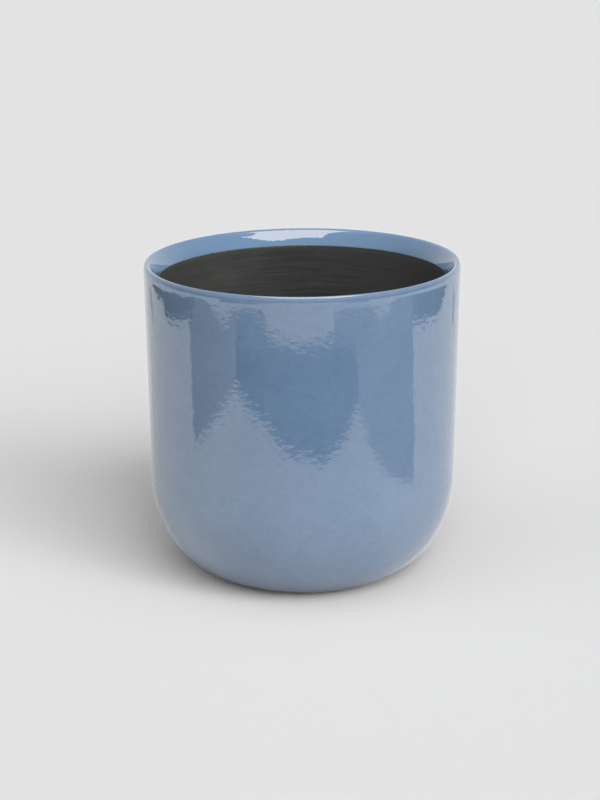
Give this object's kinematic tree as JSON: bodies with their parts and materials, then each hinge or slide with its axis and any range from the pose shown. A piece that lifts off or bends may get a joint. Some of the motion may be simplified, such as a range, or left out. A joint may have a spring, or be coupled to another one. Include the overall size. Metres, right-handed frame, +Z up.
{
  "type": "plant pot",
  "caption": "Round glazed ceramic plant pot with a slightly tapered wall, rounded bottom and thin lip; sealed inside to hold a potted plant indoors.",
  "frame": {"origin": "middle of the surface that the pot stands on, under the pot's axis", "axes": "+Z up along the pot's axis; X and Y are level, and the pot is round about Z"},
  "size_m": [0.16, 0.16, 0.1623],
  "materials": {
    "fired_clay": "bare fired clay, dry and fine-grained",
    "glaze": "glossy blue glaze with faint ripples, thinner and paler on the lip",
    "sealer": "dull dark grey brushed-on sealing coat with faint level streaks",
    "felt": "grey pressed felt"
  },
  "bodies": {
    "root": {"clay_body": "fired_clay", "outer_glaze": "glaze", "sealing_coat": "sealer", "felt_pad_1": "felt", "felt_pad_2": "felt", "felt_pad_3": "felt", "felt_pad_4": "felt"}
  },
  "joints": []
}
